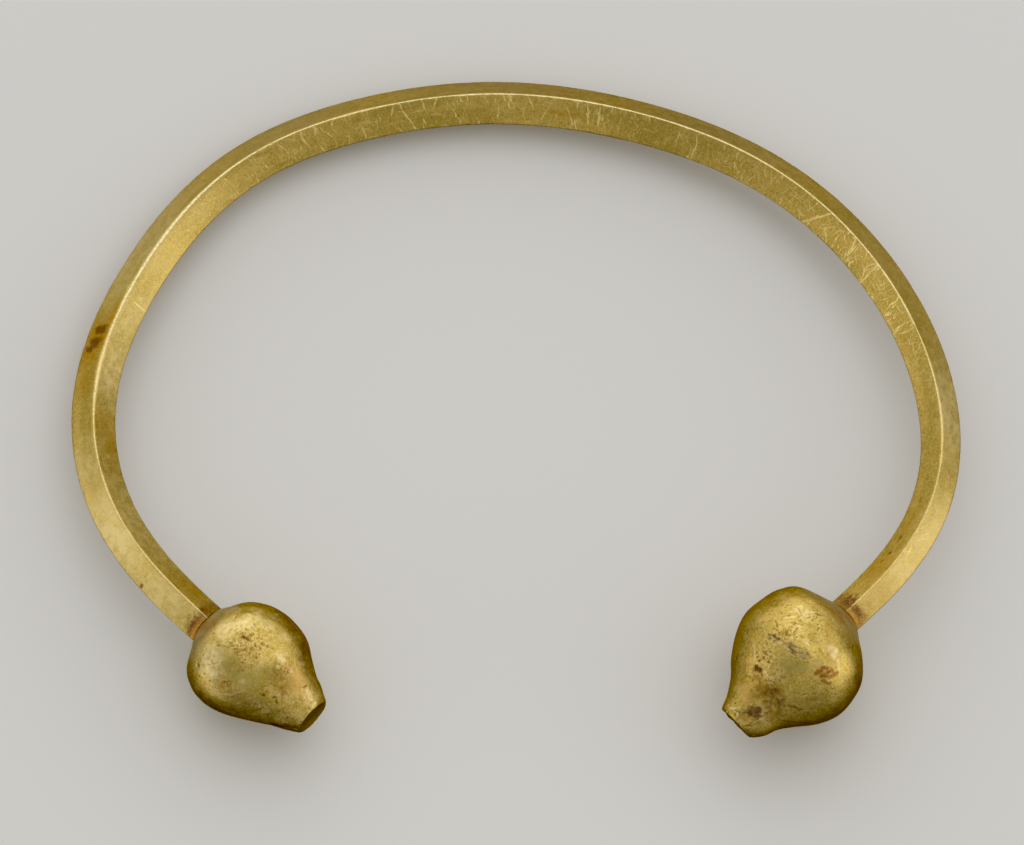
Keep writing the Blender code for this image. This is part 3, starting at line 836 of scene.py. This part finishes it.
class Graph:
    """Short ways to add nodes to a material or to the sky."""

    def __init__(self, owner):
        owner.use_nodes = True
        self.owner = owner
        self.tree = owner.node_tree
        self.tone = None

    def join(self, value, socket):
        if isinstance(value, bpy.types.NodeSocket):
            self.tree.links.new(value, socket)
        else:
            socket.default_value = value

    def add(self, kind, sockets, **settings):
        """Outputs of a new node with these settings, and with these values in its sockets."""
        node = self.tree.nodes.new("ShaderNode" + kind)
        for name, value in settings.items():
            setattr(node, name, value)
        for name, value in sockets.items():
            self.join(value, node.inputs[name])
        return node.outputs

    def math(self, operation, *values, clamp=False):
        return self.add("Math", dict(enumerate(values)), operation=operation, use_clamp=clamp)[0]

    def times(self, first, second, clamp=False):
        return self.math("MULTIPLY", first, second, clamp=clamp)

    def total(self, *parts):
        """Sum of values, each with its weight."""
        result = None
        for value, weight in parts:
            part = self.times(value, weight)
            result = part if result is None else self.math("ADD", result, part)
        return result

    def span(self, value, low, high, to_low=0.0, to_high=1.0):
        """The soft passage of a value from low to high, as a number from to_low to to_high."""
        sockets = {"Value": value, "From Min": low, "From Max": high, "To Min": to_low, "To Max": to_high}
        return self.add("MapRange", sockets, interpolation_type="SMOOTHSTEP")["Result"]

    def mix(self, share, first, second):
        return self.add("Mix", {"Factor": share, 6: first, 7: second}, data_type="RGBA")[2]

    def field(self, name, output="Fac"):
        return self.add("Attribute", {}, attribute_name=name)[output]

    def stretched(self, vector, counts, turn=(0.0, 0.0, 0.0)):
        """The vector turned and stretched, so that a unit of it holds this many cells along each axis."""
        sockets = {"Vector": vector, "Scale": [1.0 / count for count in counts], "Rotation": turn}
        return self.add("Mapping", sockets, vector_type="TEXTURE")["Vector"]

    def noise(self, vector, scale, detail=3.0, roughness=0.5, distortion=0.0, output="Fac"):
        sockets = {"Vector": vector, "Scale": scale, "Detail": detail, "Roughness": roughness}
        return self.add("TexNoise", {**sockets, "Distortion": distortion})[output]

    def cells(self, vector, scale, dimensions="3D"):
        """Distance from the nearest of many scattered points."""
        sockets = {"Vector": vector, "Scale": scale}
        return self.add("TexVoronoi", sockets, voronoi_dimensions=dimensions)["Distance"]

    def warped(self, vector, scale, amount):
        """The vector shaken a little by noise, so that straight things bend."""
        sockets = {0: self.noise(vector, scale, 1.0, output="Color"), 1: (amount, amount, 0.0), 2: vector}
        return self.add("VectorMath", sockets, operation="MULTIPLY_ADD")["Vector"]

    def lines(self, vector, sets, low, high, dimensions="3D"):
        """Hair-thin lines, the middles of long narrow cells, in several sets."""
        lines = None
        for counts, turn in sets:
            distance = self.cells(self.stretched(vector, counts, turn), 1.0, dimensions)
            line = self.span(distance, low, high, 1.0, 0.0)
            lines = line if lines is None else self.math("MAXIMUM", lines, line)
        return lines

    def broken(self, name, noise, low, high, to_low, to_high):
        """A painted field broken up by a noise."""
        return self.times(self.field(name), self.span(noise, low, high, to_low, to_high), clamp=True)

    def uneven(self, name, noise, amount):
        """A painted field whose borders a noise moves in and out."""
        return self.math("MULTIPLY_ADD", self.math("SUBTRACT", noise, 0.5), amount, self.field(name))

    def paint(self, amount, share, colour):
        """Covers the tone so far with a colour."""
        self.tone = self.mix(self.times(amount, share), self.tone, colour)

    def stain(self, amount, low, high, share, colour):
        """The same with a softer border, which runs from low to high."""
        self.tone = self.mix(self.span(amount, low, high, 0.0, share), self.tone, colour)

    def metal(self, gloss, height, distance, strength):
        """Puts the tone, the gloss and the finest relief on the shader, and hands over the material."""
        sockets = self.tree.nodes["Principled BSDF"].inputs
        self.join(self.tone, sockets["Base Color"])
        sockets["Metallic"].default_value = 1.0
        sockets["Specular Tint"].default_value = RIM_TINT
        self.join(gloss, sockets["Roughness"])
        relief = self.add("Bump", {"Strength": strength, "Distance": distance, "Height": height})
        self.join(relief["Normal"], sockets["Normal"])
        return self.owner


# Sets of hair-thin scratches: cells for each millimetre of the bar, or each metre of a terminal, and turn
BAR_HAIR_SETS = (
    ((0.085, 2.1, 1.0), (0.0, 0.0, 1.15)),
    ((0.075, 2.3, 1.0), (0.0, 0.0, -0.95)),
    ((0.090, 2.0, 1.0), (0.0, 0.0, 0.55)),
    ((0.110, 2.2, 1.0), (0.0, 0.0, -1.45)),
    ((0.060, 2.4, 1.0), (0.0, 0.0, 0.08)),
)
TERMINAL_HAIR_SETS = (
    ((160.0, 3600.0, 500.0), (0.2, 0.1, 0.7)),
    ((190.0, 3300.0, 500.0), (-0.1, 0.2, 1.9)),
    ((170.0, 3800.0, 500.0), (0.1, -0.2, -0.5)),
)

PALE_GOLD = (0.84, 0.64, 0.23, 1.0)
MID_GOLD = (0.68, 0.485, 0.125, 1.0)
OLIVE_GOLD = (0.52, 0.385, 0.085, 1.0)
GREEN_GOLD = (0.54, 0.45, 0.14, 1.0)
TAN_GOLD = (0.62, 0.38, 0.12, 1.0)
BROWN_GOLD = (0.38, 0.23, 0.045, 1.0)
# Colour of the bar's painted highlights
PAINTED_HIGHLIGHT_GOLD = (0.92, 0.73, 0.33, 1.0)
# Colour of the painted shade on the outer face over the back
BACK_SHADE_GOLD = (0.51, 0.41, 0.205, 1.0)
HAIR_GOLD = (0.98, 0.77, 0.30, 1.0)
SEAT_GOLD = (0.58, 0.54, 0.34, 1.0)
OCHRE_GOLD = (0.50, 0.26, 0.02, 1.0)
# Colour of the worn edges and of the ridge's painted highlight
WORN_EDGE_AND_HIGHLIGHT = (0.98, 0.86, 0.52, 1.0)
SHINE = (0.95, 0.77, 0.38, 1.0)
RIM_TINT = (0.70, 0.50, 0.20, 1.0)
OCHRE = (0.36, 0.20, 0.045, 1.0)
ORANGE = (0.64, 0.32, 0.075, 1.0)
RUST = (0.34, 0.14, 0.045, 1.0)
BROWN = (0.20, 0.105, 0.025, 1.0)
STAIN_BROWN = (0.22, 0.105, 0.045, 1.0)
SMOKE = (0.43, 0.35, 0.175, 1.0)
SOOT = (0.25, 0.18, 0.09, 1.0)
CHAR = (0.125, 0.060, 0.042, 1.0)
PIT_DARK = (0.11, 0.055, 0.016, 1.0)

# Depth of the finest relief, in metres
BAR_BUMP = 0.00008
TERMINAL_BUMP = 0.00010


def bar_material():
    g = Graph(bpy.data.materials.new("bar_gold_worn"))
    run = g.field("run", "Vector")
    skin = g.field("skin", "Vector")
    broad = g.noise(g.stretched(skin, (0.05, 0.25, 0.25)), 1.0, 3.0, 0.55)
    streaks = g.noise(g.stretched(run, (0.30, 4.5, 1.0)), 1.0, 3.0, 0.6)
    grain = g.noise(skin, 3.0, 4.0, 0.7)
    speckle = g.noise(skin, 2.1, 5.0, 0.75, 0.4)
    cloudy = g.noise(skin, 0.7, 4.0, 0.6)
    breakup = g.noise(skin, 1.3, 4.0, 0.65, 0.6)
    web = g.field("cobweb")
    g.tone = g.mix(g.span(broad, 0.38, 0.62), MID_GOLD, OLIVE_GOLD)
    g.paint(g.span(cloudy, 0.48, 0.70), 0.30, PALE_GOLD)
    g.paint(g.span(streaks, 0.52, 0.75), 0.16, PALE_GOLD)
    g.paint(g.span(breakup, 0.48, 0.34), 0.25, BROWN_GOLD)
    g.paint(g.span(speckle, 0.49, 0.37), 0.66, BROWN_GOLD)
    g.paint(web, 0.22, BROWN_GOLD)
    g.paint(g.span(grain, 0.53, 0.66), 0.50, SHINE)
    # Painted highlights on the stretches of face that catch the light
    g.paint(g.broken("painted_highlight", cloudy, 0.35, 0.62, 0.45, 1.0), 0.90, PAINTED_HIGHLIGHT_GOLD)
    # Painted shade on the outer face over the back
    g.paint(g.field("painted_back_shade"), 0.85, BACK_SHADE_GOLD)

    hair = g.times(g.lines(g.warped(run, 0.4, 1.4), BAR_HAIR_SETS, 0.06, 0.14, "2D"), web)
    hair = g.times(hair, g.span(cloudy, 0.40, 0.58, 0.25, 1.25), clamp=True)
    g.paint(hair, 0.72, HAIR_GOLD)
    g.paint(g.span(g.field("scratch"), 0.54, 0.78), 0.95, HAIR_GOLD)
    # Worn edges, with the painted highlight of the ridge line
    g.paint(g.broken("wear_and_highlight", g.noise(skin, 2.4, 3.0), 0.36, 0.58, 0.35, 1.2), 0.90, WORN_EDGE_AND_HIGHLIGHT)

    g.paint(g.broken("ochre", breakup, 0.30, 0.62, 0.6, 1.15), 0.95, OCHRE_GOLD)
    burn = g.uneven("burn", breakup, 1.7)
    g.stain(burn, 0.15, 0.90, 0.74, g.mix(g.span(breakup, 0.38, 0.60), STAIN_BROWN, OCHRE))
    g.stain(g.uneven("brown", breakup, 1.3), 0.32, 0.82, 0.90, STAIN_BROWN)
    g.paint(g.broken("orange", breakup, 0.34, 0.58, 0.55, 1.25), 0.90, ORANGE)
    # Painted glints: bright flecks in the heat tint near the joints
    g.paint(g.times(g.span(grain, 0.56, 0.66), g.span(burn, 0.15, 0.6), clamp=True), 0.5, SHINE)

    speck_size = g.span(g.noise(skin, 0.6, 1.0), 0.5, 0.8)
    dots = g.span(g.math("MULTIPLY_ADD", speck_size, -0.10, g.cells(skin, 1.15)), 0.0, 0.05, 1.0, 0.0)
    g.paint(dots, 0.45, PIT_DARK)

    gloss = g.total((g.span(cloudy, 0.3, 0.7, 0.26, 0.36), 1.0), (g.field("burn"), 0.10))
    height = g.total((streaks, 0.35), (grain, 0.12), (hair, -0.25), (dots, -0.8), (speckle, 0.2))
    return g.metal(gloss, height, BAR_BUMP, 0.8)


def terminal_material(name, pale_share, dirt_share):
    g = Graph(bpy.data.materials.new(name))
    place = g.add("TexCoord", {})["Object"]
    broad = g.noise(place, 160.0, 2.0, 0.5)
    cloudy = g.noise(place, 480.0, 3.0, 0.6, 0.3)
    mottle = g.noise(place, 1150.0, 4.0, 0.65, 0.4)
    grain = g.noise(place, 3000.0, 3.0, 0.7)
    crumble = g.noise(place, 1900.0, 5.0, 0.75, 0.4)
    breakup = g.noise(place, 900.0, 5.0, 0.7, 0.5)
    rough = g.field("rough")

    g.tone = g.mix(g.span(broad, 0.40, 0.62), MID_GOLD, OLIVE_GOLD)
    g.paint(g.span(cloudy, 0.45, 0.70), pale_share, PALE_GOLD)
    g.paint(g.span(mottle, 0.50, 0.36), 0.28, BROWN_GOLD)
    g.paint(g.span(crumble, 0.48, 0.36), dirt_share, BROWN_GOLD)
    g.paint(g.span(grain, 0.53, 0.66), 0.58, SHINE)
    g.paint(g.field("seat"), 0.72, SEAT_GOLD)
    hair = g.lines(g.warped(place, 350.0, 0.0012), TERMINAL_HAIR_SETS, 0.12, 0.22)
    hair = g.times(hair, g.span(cloudy, 0.40, 0.60))
    g.paint(hair, 0.30, SHINE)

    g.stain(g.broken("green", breakup, 0.30, 0.64, 0.35, 1.0), 0.0, 0.9, 0.75, GREEN_GOLD)
    g.stain(g.broken("tan", breakup, 0.30, 0.64, 0.35, 1.0), 0.0, 0.9, 0.80, TAN_GOLD)
    g.stain(g.broken("brown", breakup, 0.32, 0.64, 1.3, 0.35), 0.0, 0.9, 0.80, OCHRE)
    patches = g.span(rough, 0.0, 0.8)
    g.paint(g.times(g.span(crumble, 0.50, 0.40), patches, clamp=True), 0.72, BROWN)
    # Painted glints: bright flecks in the rough patches
    g.paint(g.times(g.span(crumble, 0.55, 0.62), patches, clamp=True), 0.55, SHINE)

    # Painted highlights, where the marks for them lie
    g.paint(g.broken("painted_highlight", mottle, 0.34, 0.58, 0.30, 1.25), 0.80, SHINE)
    smoke = g.broken("smoke", mottle, 0.34, 0.62, 1.3, 0.35)
    g.stain(smoke, 0.0, 0.9, 0.85, g.mix(g.span(mottle, 0.40, 0.52), SOOT, SMOKE))
    g.stain(g.broken("char", breakup, 0.34, 0.60, 1.25, 0.6), 0.0, 0.85, 0.88, CHAR)
    g.paint(g.broken("rust", grain, 0.32, 0.52, 0.35, 1.0), 0.90, RUST)
    g.paint(g.broken("solder", breakup, 0.25, 0.6, 0.5, 1.1), 0.75, g.mix(cloudy, ORANGE, OCHRE))
    # Painted shade on the flat tip
    g.paint(g.field("tip"), 0.75, OLIVE_GOLD)
    dark = g.broken("dark", grain, 0.62, 0.44, 0.45, 1.0)
    g.paint(dark, 0.74, PIT_DARK)

    gloss = g.total(
        (g.span(cloudy, 0.35, 0.65, 0.20, 0.29), 1.0),
        (g.field("seat"), 0.22),
        (rough, 0.08),
        (smoke, 0.15),
        (dark, 0.25),
    )
    crumbly = g.times(crumble, rough)
    height = g.total((grain, 0.14), (hair, -0.12), (crumbly, 0.9), (crumble, 0.10), (mottle, 0.40))
    return g.metal(gloss, height, TERMINAL_BUMP, 0.9)


build_bar(bar_material())
build_terminal("left_terminal", LEFT, END_HALVES[0], MIDDLE[0], HEADING[0] + math.pi,
               terminal_material("left_gold_hammered", 0.98, 0.70), "terminal_left")
build_terminal("right_terminal", RIGHT, END_HALVES[1], MIDDLE[-1], HEADING[-1],
               terminal_material("right_gold_hammered", 0.47, 0.84), "terminal_right")


# Floor, lights and camera

HALF_FLOOR = 3.0
FLOOR_COLOUR = (0.78, 0.77, 0.75, 1.0)
FLOOR_GLOSS = 0.2
FLOOR_ROUGHNESS = 0.9
floor_mesh = bpy.data.meshes.new("floor")
corners = ((-1, -1), (1, -1), (1, 1), (-1, 1))
floor_mesh.from_pydata([(HALF_FLOOR * x, HALF_FLOOR * y, 0.0) for x, y in corners], [], [(0, 1, 2, 3)])
floor = bpy.data.objects.new("floor", floor_mesh)
bpy.context.scene.collection.objects.link(floor)
floor_graph = Graph(bpy.data.materials.new("floor_pale"))
floor_sockets = floor_graph.tree.nodes["Principled BSDF"].inputs
floor_sockets["Base Color"].default_value = FLOOR_COLOUR
floor_sockets["Roughness"].default_value = FLOOR_ROUGHNESS
floor_sockets["Specular IOR Level"].default_value = FLOOR_GLOSS
floor.visible_glossy = False
floor_mesh.materials.append(floor_graph.owner)

# Soft studio lights all round the torc: degrees round from the right, degrees above the horizon, how
# narrow each one is, strength
STUDIO_LIGHTS = (
    (90, 45, 2.0, 1.2), (0, 65, 16.0, 0.3), (285, 45, 16.0, 0.2), (15, 25, 16.0, 0.4), (255, 25, 16.0, 0.25),
    (345, 5, 16.0, 0.9), (45, 5, 16.0, 0.15), (90, 5, 16.0, 0.3), (135, 5, 16.0, 0.35), (195, 5, 6.0, 0.75),
    (315, 5, 2.0, 0.4), (225, -20, 16.0, 0.4), (45, -45, 16.0, 0.2), (120, -45, 6.0, 0.25),
)
LIGHT_COLOUR = (1.0, 0.99, 0.97, 1.0)

sky = Graph(bpy.data.worlds.new("studio"))
outlook = sky.add("TexCoord", {})["Generated"]
glow = 0.0
for turn, height, narrow, strength in STUDIO_LIGHTS:
    level = math.cos(math.radians(height))
    course = (
        level * math.cos(math.radians(turn)),
        level * math.sin(math.radians(turn)),
        math.sin(math.radians(height)),
    )
    facing = sky.add("VectorMath", {0: outlook, 1: course}, operation="DOT_PRODUCT")["Value"]
    lobe = sky.math("EXPONENT", sky.math("MULTIPLY_ADD", facing, narrow, -narrow))
    glow = sky.math("MULTIPLY_ADD", lobe, strength, glow)
background = sky.tree.nodes["Background"].inputs
background["Color"].default_value = LIGHT_COLOUR
sky.join(glow, background["Strength"])
bpy.context.scene.world = sky.owner

towards = LYING.to_3x3() @ Vector((0.0, -math.sin(CAMERA_TILT), math.cos(CAMERA_TILT)))
upwards = LYING.to_3x3() @ Vector((0.0, math.cos(CAMERA_TILT), math.sin(CAMERA_TILT)))
target = LYING @ CAMERA_TARGET
camera_data = bpy.data.cameras.new("camera")
camera_data.sensor_width = SENSOR_WIDTH
camera_data.lens = PIXELS_PER_MM * CAMERA_DISTANCE / FRAME_WIDTH * SENSOR_WIDTH
camera_data.clip_start = CLIP_NEAR
camera_data.clip_end = CLIP_FAR
camera = bpy.data.objects.new("camera", camera_data)
camera.matrix_world = with_axes(upwards.cross(towards), upwards, towards)
camera.location = (target + towards * CAMERA_DISTANCE) * MM
bpy.context.scene.collection.objects.link(camera)
bpy.context.scene.camera = camera
view = bpy.context.scene.view_settings
view.view_transform = "Standard"
view.use_curve_mapping = True
view.curve_mapping.black_level = (BLACK_LEVEL, BLACK_LEVEL, BLACK_LEVEL)
view.curve_mapping.update()
